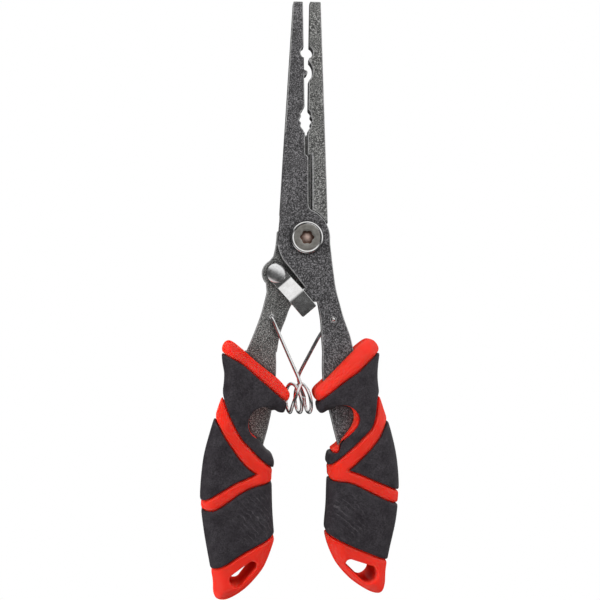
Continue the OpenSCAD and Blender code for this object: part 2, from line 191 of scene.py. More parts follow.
class Shader:
    """Short calls for building a material's nodes. Lengths are in millimetres."""

    def __init__(self, name):
        self.material = bpy.data.materials.new(name)
        self.material.use_nodes = True
        self.tree = self.material.node_tree
        self.bsdf = self.tree.nodes["Principled BSDF"]
        self.coord = self.tree.nodes.new("ShaderNodeTexCoord").outputs["Object"]

    def feed(self, socket, value):
        if isinstance(value, bpy.types.NodeSocket):
            self.tree.links.new(value, socket)
        elif hasattr(value, "__len__") and len(value) == 3 and len(socket.default_value) == 4:
            socket.default_value = (*value, 1)
        else:
            socket.default_value = value

    def add(self, kind, inputs=None, **settings):
        node = self.tree.nodes.new("ShaderNode" + kind)
        for key, value in settings.items():
            setattr(node, key, value)
        for key, value in (inputs or {}).items():
            self.feed(node.inputs[key], value)
        return node

    def set(self, **inputs):
        for key, value in inputs.items():
            self.feed(self.bsdf.inputs[key.replace("_", " ")], value)

    def noise(self, per_mm, detail=2.0, rough=0.5):
        return self.add("TexNoise", {"Vector": self.coord, "Scale": per_mm / MM,
                                     "Detail": detail, "Roughness": rough}).outputs["Fac"]

    def radius(self):
        """Distance from the pivot axis, in millimetres."""
        split = self.add("SeparateXYZ", {"Vector": self.coord})
        x, z = split.outputs["X"], split.outputs["Z"]
        square = self.math("ADD", self.math("MULTIPLY", x, x), self.math("MULTIPLY", z, z))
        return self.math("MULTIPLY", self.math("SQRT", square), 1 / MM)

    def near(self, centre, reach):
        """One at a place in millimetres, and nothing farther from it than the reach."""
        away = self.add("VectorMath", {0: self.coord, 1: [c * MM for c in centre]},
                        operation="DISTANCE").outputs["Value"]
        return self.ramp(self.math("DIVIDE", away, reach * MM), (0.5, 1.0), (1.0, 0.0))

    def painted_corner_shade(self, reach, darkest):
        """Painted shade: a grey that falls to the darkest value in corners closer than the reach."""
        open_sky = self.add("AmbientOcclusion", {"Distance": reach * MM}).outputs["AO"]
        return self.ramp(open_sky, (0.45, darkest), (0.95, 1.0))

    def ramp(self, value, *stops):
        """Colours or greys at positions along the value."""
        ramp = self.add("ValToRGB", {"Fac": value})
        elements = ramp.color_ramp.elements
        while len(elements) < len(stops):
            elements.new(0.5)
        for element, (at, colour) in zip(elements, stops):
            element.position = at
            element.color = (*colour, 1) if hasattr(colour, "__len__") else (colour,) * 3 + (1,)
        return ramp.outputs["Color"]

    def math(self, operation, a, b=0.0):
        return self.add("Math", {0: a, 1: b}, operation=operation).outputs[0]

    def mix(self, factor, a, b, blend="MIX"):
        return self.add("Mix", {0: factor, 6: a, 7: b}, data_type="RGBA",
                        blend_type=blend).outputs[2]

    def bump(self, height, depth, strength=1.0):
        return self.add("Bump", {"Height": height, "Distance": depth * MM,
                                 "Strength": strength}).outputs["Normal"]


def coated_steel(name, tone):
    """Dark powder coat: fine specks over slow blotches, with painted shade in the corners."""
    m = Shader(name)
    specks = m.noise(2.6, detail=2.0, rough=0.7)
    blotches = m.noise(0.2, detail=3.0)
    dark, ground, light = (tuple(level * c for c in tone) for level in (0.015, 0.07, 0.36))
    base = m.ramp(specks, (0.34, dark), (0.5, ground), (0.68, light))
    base = m.mix(1.0, base, m.ramp(blotches, (0.3, 0.8), (0.7, 1.15)), "MULTIPLY")
    # The coat is multiplied by painted shade, darker in corners and creases.
    m.set(Base_Color=m.mix(1.0, base, m.painted_corner_shade(1.5, 0.3), "MULTIPLY"), Metallic=0.25, Specular_IOR_Level=0.5,
          Roughness=m.ramp(specks, (0.35, 0.62), (0.7, 0.45)),
          Normal=m.bump(specks, 0.12, 0.7))
    return m.material


def worn_highlit_edge():
    """The coat where it is rubbed thin along an edge, with bare metal in places. Its lighter grey is also a
    painted highlight along the edges.
    """
    m = Shader("worn_highlit_edge")
    rubbed = m.noise(1.0, detail=4.0, rough=0.7)
    m.set(Base_Color=m.ramp(rubbed, (0.35, 0.13), (0.65, 0.42)),
          Metallic=m.ramp(rubbed, (0.5, 0.2), (0.7, 0.9)), Roughness=0.42,
          Normal=m.bump(rubbed, 0.05, 0.5))
    return m.material


def polished_steel(name, roughest):
    """Bright plated steel with faint smears and a little orange peel."""
    m = Shader(name)
    smear = m.noise(0.5, detail=4.0)
    m.set(Base_Color=m.ramp(smear, (0.3, (0.72, 0.71, 0.7)), (0.7, (0.88, 0.88, 0.88))),
          Metallic=1.0, Roughness=m.ramp(smear, (0.3, roughest / 2), (0.75, roughest)),
          Normal=m.bump(m.noise(1.6), 0.006, 0.6))
    return m.material


def tumbled_steel():
    """Plated steel with a soft, slightly pitted shine."""
    m = Shader("tumbled_steel")
    pits = m.noise(1.3, detail=3.0)
    m.set(Base_Color=m.ramp(pits, (0.3, 0.7), (0.7, 0.95)), Metallic=1.0,
          Roughness=m.ramp(pits, (0.3, 0.28), (0.7, 0.42)), Normal=m.bump(pits, 0.03, 0.6))
    return m.material


def socket_painted_light():
    """The screw's socket: a painted highlight brightens the middle of its floor, and painted shade darkens
    its walls.
    """
    m = Shader("socket_painted_light")
    rim_r = 2.2
    unevenness = m.noise(1.2, detail=3.0)
    depth = m.math("ADD", m.math("DIVIDE", m.radius(), rim_r), m.math("MULTIPLY", unevenness, 0.3))
    # Brownish painted highlight in the middle of the floor, falling to near-black painted shade at the walls.
    m.set(Base_Color=m.ramp(depth, (0.35, (0.62, 0.46, 0.4)), (0.95, (0.1, 0.055, 0.04))),
          Metallic=0.6, Roughness=0.45, Normal=m.bump(unevenness, 0.04, 0.6))
    return m.material


def satin_steel():
    """Turned steel: fine rings about the pivot, a little brown in the grain."""
    m = Shader("satin_steel")
    rings = m.add("TexNoise", {"W": m.radius(), "Scale": 7, "Detail": 3.0},
                  noise_dimensions="1D").outputs["Fac"]
    stain = m.noise(0.7, detail=4.0)
    m.set(Base_Color=m.ramp(stain, (0.3, (0.36, 0.34, 0.31)), (0.7, (0.55, 0.54, 0.5))),
          Metallic=1.0, Roughness=m.ramp(rings, (0.3, 0.3), (0.7, 0.48)),
          Normal=m.bump(rings, 0.02, 0.7))
    return m.material


def red_plastic():
    """Semi-gloss moulded plastic, a little translucent, with an orange peel and fine scuffs.

    Its fine roughness takes the shine away at glancing angles.
    """
    m = Shader("red_plastic")
    tone = m.noise(0.12, detail=2.0)
    scuffs = m.noise(2.2, detail=5.0, rough=0.7)
    glancing = m.add("LayerWeight", {"Blend": 0.5}).outputs["Facing"]
    m.set(Base_Color=m.ramp(tone, (0.3, (0.62, 0.028, 0.015)), (0.7, (0.7, 0.036, 0.022))),
          Roughness=m.ramp(scuffs, (0.35, 0.36), (0.7, 0.5)),
          Specular_IOR_Level=m.ramp(glancing, (0.35, 0.25), (0.65, 0.0)),
          Subsurface_Weight=0.9, Subsurface_Radius=(1.0, 0.06, 0.03), Subsurface_Scale=6 * MM,
          Normal=m.bump(m.noise(0.8, detail=3.0), 0.03, 0.5))
    return m.material


def black_rubber(name, patch=None):
    """Soft-touch rubber: matte and grained, greyer where it is rubbed.

    Fine raised strokes cover a round patch, which is given by its centre in millimetres.
    """
    m = Shader(name)
    grain = m.noise(2.2, detail=3.0, rough=0.7)
    rubbed = m.noise(0.3, detail=5.0, rough=0.65)
    base = m.ramp(rubbed, (0.3, (0.017, 0.014, 0.0175)), (0.72, (0.04, 0.036, 0.041)))
    base = m.mix(1.0, base, m.ramp(grain, (0.35, 0.4), (0.66, 1.35)), "MULTIPLY")
    height = grain
    patch_r = 11.0
    if patch:
        wave = m.add("TexWave", {"Vector": m.coord, "Scale": 0.28 / MM, "Distortion": 5.0,
                                 "Detail": 3.0, "Detail Scale": 1.5}, bands_direction="DIAGONAL")
        stroke = m.math("MULTIPLY", m.ramp(wave.outputs["Fac"], (0.88, 0.0), (1.0, 1.0)),
                        m.ramp(m.noise(0.35), (0.42, 0.0), (0.6, 0.32)))
        stroke = m.math("MULTIPLY", stroke, m.near(patch, patch_r))
        base = m.mix(stroke, base, (0.15, 0.14, 0.15))
        height = m.math("ADD", grain, stroke)
    m.set(Base_Color=base, Roughness=m.ramp(grain, (0.3, 0.6), (0.7, 0.8)),
          Specular_IOR_Level=0.35, Normal=m.bump(height, 0.12, 0.8))
    return m.material


FRONT_COAT = coated_steel("front_coat", (0.78, 0.76, 0.79))
REAR_COAT = coated_steel("rear_coat", (1.3, 1.3, 1.26))
WORN_HIGHLIT = worn_highlit_edge()
BRIGHT = polished_steel("polished_steel", 0.2)
WIRE = polished_steel("drawn_wire", 0.34)
DOME = tumbled_steel()
SATIN = satin_steel()
SOCKET_PAINTED_LIGHT = socket_painted_light()
RED = red_plastic()
BLACK = black_rubber("black_rubber")
STROKES_U, STROKES_Z = 14, -97
STROKED = {name: black_rubber(f"{name}_stroked_rubber",
                              (mirror_x + side * STROKES_U, -grip_half_t, STROKES_Z))
           for name, side in (("left", -1), ("right", 1))}


# ---- forged, stamped and turned steel --------------------------------------


def sharp_edges(bm, sharp_angle, rounding):
    """The edges to round. Where two of them run together in a point, the point is left out."""
    narrow_corner = math.radians(15)
    points = []
    for edge in bm.edges:
        if not edge.is_manifold or edge.calc_face_angle(0) < sharp_angle:
            continue
        for loop in edge.link_loops:
            for corner in (loop, loop.link_loop_next):
                if corner.calc_angle() < narrow_corner:
                    points.append((corner.vert, 1.2 * rounding / math.tan(corner.calc_angle() / 2)))
    for vert, reach in points:
        for edge in list(vert.link_edges):
            if edge.calc_length() > reach:
                bmesh.utils.edge_split(edge, vert, reach / edge.calc_length())
    kept_sharp = {edge for vert, _ in points for edge in vert.link_edges}
    return [e for e in bm.edges
            if e.is_manifold and e.calc_face_angle(0) > sharp_angle and e not in kept_sharp]


def softened(node, material, body, slot, edge, edge_material=None):
    """A CAD node with its flat faces joined up and its sharp edges rounded.

    A vertex that the rounding throws off the node's skin is put back on it.
    """
    flat_angle = math.radians(0.4)
    sharp_angle = math.radians(40)
    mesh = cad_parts[node].data.copy()
    obj = link(f"{node}_steel", mesh, material)
    if edge_material:
        mesh.materials.append(edge_material)
    bm = bmesh.new()
    bm.from_mesh(mesh)
    bmesh.ops.remove_doubles(bm, verts=bm.verts, dist=0.002 * MM)
    bmesh.ops.dissolve_limit(bm, angle_limit=flat_angle, verts=bm.verts, edges=bm.edges)
    sharp = sharp_edges(bm, sharp_angle, edge * MM)
    skin = BVHTree.FromBMesh(bm)
    # Where an edge material is given, the rounded edges take it; on the levers it is worn coat lightened as a
    # painted highlight.
    bmesh.ops.bevel(bm, geom=sharp, offset=edge * MM, segments=2, profile=0.6, affect="EDGES",
                    clamp_overlap=False, material=1 if edge_material else -1)
    for vert in bm.verts:
        on_skin, _, _, strayed = skin.find_nearest(vert.co)
        if strayed > edge / 2 * MM:
            vert.co = on_skin
    for face in bm.faces:
        face.smooth = True
    bm.to_mesh(mesh)
    bm.free()
    flatten_normals(obj)
    return place(obj, body, slot, node)


def pivot_screw():
    """A low turned head with a raised bright rim and a six-lobed socket."""
    face_y = head_low[1]
    seat_y = -plate_t
    head_r = head_high[0]
    bead_r, bead_sink = 0.5, 0.22
    socket_r, lobe, lobes_end_r, socket_depth = 2.25, 0.2, 3.0, 1.5
    chamfer, lead_in, floor_round, floor_dip = 0.15, 0.15, 0.3, 0.15
    dish_y = face_y + bead_sink
    floor_y = face_y + socket_depth

    def lobed(radius, angle):
        near_socket = min(radius / socket_r, 1) if radius < lobes_end_r else 0
        return radius + lobe * near_socket * np.cos(6 * angle)

    profile = [(0.2, seat_y), (head_r - chamfer, seat_y), (head_r, seat_y - chamfer)]
    profile += corner((head_r - bead_r, face_y + bead_r), bead_r, 0, -150, 9)
    profile += [(head_r - 2.2 * bead_r, dish_y), (lobes_end_r + 1.1, dish_y), (lobes_end_r + 0.1, dish_y)]
    profile += corner((socket_r + lead_in, dish_y + lead_in), lead_in, -90, -180, 4)
    profile += [(socket_r, floor_y - floor_round), (socket_r - floor_round, floor_y),
                (1.3, floor_y - floor_dip), (0.05, floor_y - 2 * floor_dip)]
    head = turned("pivot_screw_head", profile, (0, 0), SATIN, 96, lobed)
    for material in (BRIGHT, SOCKET_PAINTED_LIGHT):
        head.data.materials.append(material)
    for face in head.data.polygons:
        radius = math.hypot(face.center.x, face.center.z) / MM
        if radius > head_r - 2 * bead_r:
            face.material_index = 1
        elif radius < socket_r + lobe and face.center.y / MM > dish_y + 0.12:
            # The socket's inner faces get the painted highlight and shade.
            face.material_index = 2
    flatten_normals(head)
    place(head, "pivot", "satin_steel", "pivot_screw")


def latch_rivet():
    """A domed rivet with its tail closed behind the rear plate."""
    centre = ((rivet_low[0] + rivet_high[0]) / 2, (rivet_low[2] + rivet_high[2]) / 2)
    head_r = (rivet_high[0] - rivet_low[0]) / 2
    top_y, tail_y = rivet_low[1], rivet_high[1]
    head_t, lip, shank_r, tail_r, tail_t = 1.7, 0.3, 1.5, 2.7, 0.9
    under_chamfer, tail_round = 0.1, 0.3
    profile = [(head_r * math.sin(a), top_y + (head_t - lip) * (1 - math.cos(a)))
               for a in np.linspace(0.02, math.pi / 2, 14)]
    profile += [(head_r, top_y + head_t - under_chamfer), (head_r - under_chamfer, top_y + head_t),
                (shank_r, top_y + head_t), (shank_r, tail_y - tail_t), (tail_r, tail_y - tail_t)]
    profile += corner((tail_r - tail_round, tail_y - tail_round), tail_round, 0, 90, 3)
    profile += [(0.05, tail_y)]
    place(turned("latch_rivet_dome", profile, centre, DOME), "rear_lever", "polished_steel",
          "latch_rivet")


def latch():
    """A stamped strip: round at its rivet, bent forwards, with a raised square tab."""
    angle = math.radians(49.7)
    width, thick, length = 6.3, 1.0, 17.5
    edge, nick, knee = 0.16, 0.5, 0.6
    half = width / 2
    flat_y = latch_high[1] - thick / 2
    tab_y = latch_low[1] + thick / 2
    foot, brow = 4.95, 10.0
    ease, slope_step = 0.6, 0.1
    along = np.array([math.cos(angle), 0, -math.sin(angle)])
    across = np.array([math.sin(angle), 0, math.cos(angle)])
    hinge = np.array([(rivet_low[0] + rivet_high[0]) / 2, 0, (rivet_low[2] + rivet_high[2]) / 2])

    def centre_y(s):
        """The strip's height: level, a ramp between two eased knees, and level again."""
        eased = (tab_y - flat_y) * 2 * knee / (brow - foot) * ease
        bends = [(-half, flat_y), (foot - 2 * knee, flat_y), (foot - knee, flat_y),
                 (foot + knee, flat_y + eased), (brow - knee, tab_y - eased),
                 (brow + knee, tab_y), (brow + 2 * knee, tab_y), (length, tab_y)]
        path = curve_through(bends, 20)
        return np.interp(s, path[:, 0], path[:, 1])

    stations = np.concatenate([-half * np.cos(np.linspace(0.1, math.pi / 2, 12)),
                               np.linspace(0.3, length - nick, 70),
                               length - nick * (1 - np.sin(np.linspace(0.3, math.pi / 2, 5)))])
    rings = []
    for s in stations:
        slope = (centre_y(s + slope_step) - centre_y(s - slope_step)) / (2 * slope_step)
        lift = (np.array([0, 1, 0]) - slope * along) / math.hypot(1, slope)
        w = half
        if s < 0:
            w = math.sqrt(half**2 - s**2)
        elif s > length - nick:
            w = half - nick + math.sqrt(max(nick**2 - (s - length + nick) ** 2, 0))
        ring = []
        for side, up, start in ((1, 1, 0), (-1, 1, 90), (-1, -1, 180), (1, -1, 270)):
            for a in np.radians(np.linspace(start, start + 90, 4)):
                ring.append(hinge + along * s + np.array([0, float(centre_y(s)), 0])
                            + across * (side * (w - edge) + edge * math.cos(a))
                            + lift * (up * (thick / 2 - edge) + edge * math.sin(a)))
        rings.append(ring)
    strip = tube("latch_strip", rings, BRIGHT)
    flatten_normals(strip)
    place(strip, "latch", "polished_steel", "latch")


def spring():
    """A torsion spring: a coil wound about X, with a leg hooked into each lever."""
    wire_r = 0.6
    left_x, left_z = spring_low[0] + wire_r, -27.65
    right_x, right_z = spring_high[0] - wire_r, -28.5
    coil_r, coil_start, pitch, wound = 5.05, -6.1, 3.3, 810
    lean, skew = 0.45, 1.55
    coil_z = spring_low[2] + wire_r + coil_r

    def coil_point(degrees):
        a = math.radians(degrees)
        askew = lean * math.cos(a) - skew * math.sin(a)
        return (coil_start + pitch * degrees / 360 + askew, coil_r * math.sin(a),
                coil_z - coil_r * math.cos(a))

    coil = np.array([coil_point(a) for a in range(0, wound + 1, 9)])
    left_leg = curve_through(
        [(left_x, 2.6, left_z), (left_x, 0.6, left_z), (left_x + 0.3, -0.7, left_z - 0.8),
         (-9.8, -1, -32.8), (-6.2, -2.9, -41.3), (-2.5, -4.9, -50), (-2.6, -5.6, -51.6),
         (-3.6, -6.2, -54), (-4.5, -5.8, -56.6), (-5.1, -4.5, -58.7), (-5.5, -2.4, -60.6),
         coil[0]], 8)
    right_leg = curve_through(
        [coil[-1], (-1.2, 4.8, -53.5), (-2, 4, -51.4), (-2.4, 3.2, -49.5), (-2, 2.8, -47.5),
         (1.2, 1.9, -41.2), (5.2, 1, -33.8), (right_x - 0.6, 0.7, right_z - 0.9),
         (right_x, -0.6, right_z), (right_x, -plate_t - 0.15, right_z)], 8)
    line = np.vstack([left_leg[:-1], coil, right_leg[1:]])
    ahead = np.vstack([line[1:], line[-1:]]) - np.vstack([line[:1], line[:-1]])
    ahead /= np.linalg.norm(ahead, axis=1)[:, None]
    side = np.array([1.0, 0, 0])
    rings = []
    for point, direction in zip(line, ahead):
        side = side - direction * (side @ direction)
        side /= np.linalg.norm(side)
        other = np.cross(direction, side)
        rings.append([point + wire_r * (math.cos(a) * side + math.sin(a) * other)
                      for a in np.linspace(0, 2 * math.pi, 14, endpoint=False)])
    first, last = len(left_leg) - 1, len(left_leg) + len(coil) - 2
    middle = tube("spring_coil", rings[first:last + 1], WIRE)
    place(middle, "pivot", "polished_steel", "torsion_spring")
    legs = ((tube("spring_left_leg", rings[:first + 1], WIRE), "rear_lever",
             left_leg[-1], (left_x, 0, left_z)),
            (tube("spring_right_leg", rings[last:], WIRE), "front_lever",
             right_leg[0], (right_x, 0, right_z)))
    for leg, lever, near, hole in legs:
        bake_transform(leg)
        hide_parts("torsion_spring")


# The levers' rounded edges are worn coat, lightened as a painted edge highlight.
softened("front_lever", FRONT_COAT, "front_lever", "coated_steel", 0.32, WORN_HIGHLIT)
softened("rear_lever", REAR_COAT, "rear_lever", "coated_steel", 0.32, WORN_HIGHLIT)
softened("pivot_nut", SATIN, "pivot", "satin_steel", 0.15)
softened("pivot_washer", SATIN, "pivot", "satin_steel", 0.07)
softened("latch_washer", SATIN, "rear_lever", "satin_steel", 0.06)
pivot_screw()
latch_rivet()
latch()
spring()


# ---- grips -----------------------------------------------------------------

# Outlines are in millimetres: across from the grips' mirror line, and up from the pivot.

LEFT = {
    "outline": [(23.2, -36.2), (21.6, -37.4), (18.5, -40), (13.8, -44.1), (7.8, -48.9), (4.9, -51.9),
                (3.6, -53.7), (3.4, -55.2), (4.3, -57.4), (4.9, -59.4), (5.6, -60.8), (7.4, -60.7),
                (9.2, -60), (11.4, -62.5), (13, -67), (13.4, -70.8), (12.8, -72.4), (11.4, -74.2),
                (9.9, -75.4), (9, -77.4), (9.1, -79.8), (9.7, -82.5), (9.6, -92), (9.3, -98),
                (8.9, -103.6), (9.2, -106.2), (11.8, -113.2), (14.7, -117.6), (19.5, -122.6),
                (25, -125.8), (28.7, -125.6), (30.1, -123.2), (30.3, -119), (31, -114.6),
                (33.2, -102), (34.4, -92), (34.5, -86.5), (33.5, -77), (31.2, -68), (28.5, -59.5),
                (26.9, -54.5), (26.2, -48), (26.9, -43), (27.1, -38.6), (26.2, -36.5),
                (24.8, -35.7)],
    "recess": [(9.2, -60.2), (10.4, -58.7), (12.2, -58), (14.7, -58.6), (16.5, -59.8), (17.9, -61.9),
               (18.4, -64.4), (18, -66.8), (16.8, -68.7), (14.7, -70.4), (13.2, -71.9), (11, -73.2),
               (8, -72), (7.6, -66), (8.2, -61.6)],
    "rim": None,
    "collar_low": [(28.5, -39.4), (26.6, -40.2), (23.9, -41.5), (20.2, -43.6), (17.1, -46.2),
                   (14.1, -48.9), (11, -51.6), (7.9, -54.3), (5.4, -56.5), (2.5, -58.8)],
    "upper_arm_top": [(28.6, -51.5), (26.9, -54.6), (26, -57.3), (24.5, -61.4), (22.6, -65.4),
                      (20.2, -69.6), (17.1, -73), (14.4, -75.9), (10.4, -79.4), (8, -81)],
    "upper_arm_low": [(31, -60.4), (29.1, -63.2), (27.5, -66), (25.7, -69.4), (23.2, -73.2),
                      (20.8, -76.6), (17.9, -79.7), (15.2, -81.6)],
    "lower_arm_top": [(15.3, -81.7), (18.7, -83.3), (22.2, -84.7), (25.7, -86.8), (29.3, -88.9),
                      (32.4, -90.6), (36, -91.2)],
    "lower_arm_low": [(36, -93.4), (33.9, -93.9), (30, -94.1), (27.5, -93), (24, -90.6),
                      (20.5, -88.2), (17, -86.4), (13.5, -85.4), (8, -84.5)],
    "cap_edge": [(7.5, -102.4), (9.3, -103.3), (13.5, -105.7), (18.7, -108.4), (22.9, -111.1),
                 (26.4, -113.3), (30.2, -114.6), (33, -115)],
    "slot": ((16.5, -113.4), (21.7, -118.4), 1.65, 2.5),
    "slot_lean": (1.5, 1.2),
    "tread_turn": 52,
}
RIGHT = {
    "outline": [(22.6, -35.6), (19.4, -38.1), (16.6, -40.9), (12.6, -45.1), (8.5, -49.4),
                (5.8, -51.8), (4.7, -53.4), (4.8, -55), (5.8, -57.2), (6.1, -59), (6.7, -60.7),
                (8, -61.1), (10.4, -60.2), (12.4, -62.8), (13.4, -66.5), (13.9, -70),
                (13.2, -71.9), (11.3, -73.4), (10, -75.3), (9.5, -77.6), (9.7, -79.6), (10, -82.5),
                (9.8, -88), (9.6, -94), (9, -101), (9.2, -105), (10.9, -110.3), (13.6, -114.8),
                (18, -119.5), (23.5, -123.3), (27.2, -124.6), (29.2, -123.8), (30.1, -121),
                (30.3, -116), (31.4, -109), (33.6, -99), (34.5, -91), (34.7, -84.5), (33.8, -75.5),
                (31.8, -66.8), (29.5, -59.7), (28, -54.6), (27.3, -49), (27.5, -44.5),
                (28, -40.5), (27.7, -37.9), (26.4, -36), (24.5, -35.2)],
    "recess": [(10.3, -60.2), (11.6, -58.5), (13.8, -57.8), (16.4, -58), (18.2, -59.2), (18.9, -61.2),
               (18.9, -63.2), (18.2, -65.3), (17, -67.3), (15.2, -69.5), (13.2, -71.6),
               (11.6, -73.2), (8.6, -73), (8.2, -66), (9.2, -61.6)],
    "rim": [(10.3, -60.2), (11.6, -58.9), (13.9, -58.2), (16.6, -58.4), (18.9, -59.8),
            (20.3, -61.8), (20.4, -63.9), (19.4, -66), (17.7, -67.9), (15.7, -70), (14.3, -72), (13.4, -74.2),
            (11.8, -74.7), (9, -73.6), (8.2, -66), (9.2, -61.6)],
    "collar_low": [(29.5, -38.6), (26.3, -40.9), (23.3, -43.6), (20.2, -46.6), (17.1, -48.8),
                   (14.1, -51), (11, -53.4), (7.9, -55.9), (6.2, -57.1), (3.5, -57.6)],
    "upper_arm_top": [(29.4, -52.5), (27.4, -55.3), (26.6, -59.5), (26.1, -62.6), (24.8, -66.2),
                      (22, -69.2), (18.7, -72.4), (15, -75.6), (11.8, -78.2), (8, -80.6)],
    "upper_arm_low": [(32.4, -60), (30.6, -63.6), (28.9, -66.6), (27.4, -69.5), (24.7, -73.1),
                      (21.7, -76.2), (18.5, -79.2), (16.5, -80.7)],
    "lower_arm_top": [(16.8, -80.8), (20.7, -82.1), (25.8, -84.4), (29.4, -85.9), (32.9, -87.5),
                      (36, -88.6)],
    "lower_arm_low": [(36, -93.2), (32.5, -92.1), (28.7, -90.5), (24.1, -88.2), (20, -86.1),
                      (16.4, -84.8), (11.8, -84.3), (8, -83.4)],
    "cap_edge": [(7, -101.6), (8.6, -102.4), (13.6, -105), (18.9, -107.5), (24.1, -109.7),
                 (29.4, -112), (33, -113.6)],
    "slot": ((17.7, -113), (24.1, -116.9), 1.45, 3.2),
    "slot_lean": (-2.8, 1.2),
    "tread_turn": -45,
}
VOXEL = 0.3
FAR = 60


def outline_distance(points, u, z):
    """Signed distance from a closed outline, negative inside, at each point of a grid."""
    p = np.asarray(points, float)
    nearest = np.full(u.shape, 1e9)
    inside = np.zeros(u.shape, bool)
    for a, b in zip(p, np.roll(p, -1, axis=0)):
        run = b - a
        if not run.any():
            continue
        t = np.clip(((u - a[0]) * run[0] + (z - a[1]) * run[1]) / (run @ run), 0, 1)
        nearest = np.minimum(nearest, (u - a[0] - t * run[0]) ** 2 + (z - a[1] - t * run[1]) ** 2)
        if run[1]:
            crosses = (a[1] > z) != (b[1] > z)
            inside ^= crosses & (u < a[0] + (z - a[1]) / run[1] * run[0])
    return np.where(inside, -1, 1) * np.sqrt(nearest)


def smooth_max(a, b, k):
    """The larger of two fields, rounded over a distance of about k where they meet."""
    h = np.clip(0.5 + 0.5 * (a - b) / k, 0, 1)
    return b + (a - b) * h + k * h * (1 - h)


def slot_distance(u, z, ends):
    """Signed distance from a slot with round ends of two radii."""
    a, b, ra, rb = ends
    run = np.subtract(b, a)
    t = np.clip(((u - a[0]) * run[0] + (z - a[1]) * run[1]) / (run @ run), 0, 1)
    return np.hypot(u - a[0] - t * run[0], z - a[1] - t * run[1]) - (ra + (rb - ra) * t)


def node_distance(name, origin, shape):
    """Signed distance from a CAD node, sampled on a grip's grid."""
    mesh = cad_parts[name].data
    mesh.calc_loop_triangles()
    points = np.array([v.co for v in mesh.vertices]) / MM
    points = ((points - origin) / VOXEL).astype(np.float32)
    triangles = np.array([t.vertices for t in mesh.loop_triangles], np.uint32)
    grid = openvdb.FloatGrid.createLevelSetFromPolygons(
        points, triangles, transform=openvdb.createLinearTransform(1.0), halfWidth=4.0)
    out = np.zeros(shape, np.float32)
    grid.copyToArray(out, ijk=(0, 0, 0))
    return out * VOXEL


